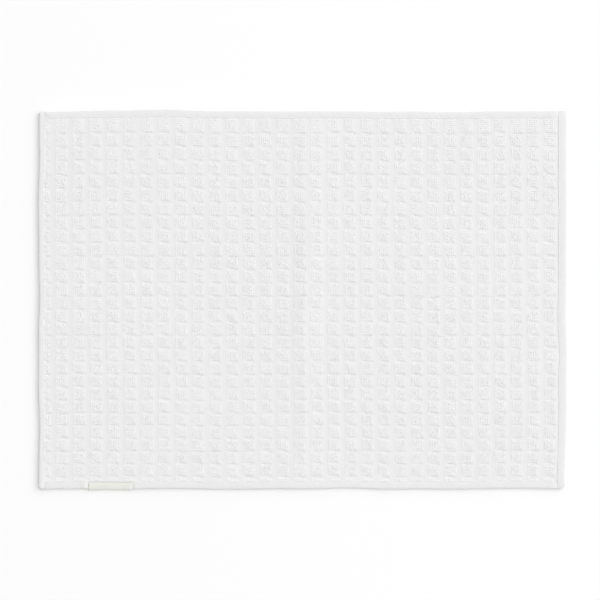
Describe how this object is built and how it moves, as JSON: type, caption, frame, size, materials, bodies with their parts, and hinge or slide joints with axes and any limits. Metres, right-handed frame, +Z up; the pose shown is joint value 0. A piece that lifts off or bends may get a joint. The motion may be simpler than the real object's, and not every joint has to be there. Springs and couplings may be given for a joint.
{
  "type": "bath mat",
  "caption": "Rectangular cotton terry bath mat with a grid of raised square pile blocks, narrow turned hems and a blank folded tape label on one edge.",
  "frame": {"origin": "on the floor under the middle of the mat", "axes": "+X along the 700 mm length, +Y across the 500 mm width away from the edge with the label, +Z up through the face"},
  "size_m": [0.7, 0.502, 0.006],
  "materials": {
    "terry_white": "uncut cotton terry loops, soft and matte",
    "ground_white": "plain-woven cotton ground, matte",
    "hem_white": "flat-woven cotton band turned under and sewn, matte",
    "thread_white": "spun polyester sewing thread",
    "label_cream": "cream woven tape, blank"
  },
  "bodies": {
    "root": {"ground_cloth": "ground_white", "face_pile": "terry_white", "back_pile": "terry_white", "hem_front": "hem_white", "hem_right": "hem_white", "hem_back": "hem_white", "hem_left": "hem_white", "needle_thread_front": "thread_white", "bobbin_thread_front": "thread_white", "needle_thread_right": "thread_white", "bobbin_thread_right": "thread_white", "needle_thread_back": "thread_white", "bobbin_thread_back": "thread_white", "needle_thread_left": "thread_white", "bobbin_thread_left": "thread_white", "care_label": "label_cream"}
  },
  "joints": []
}
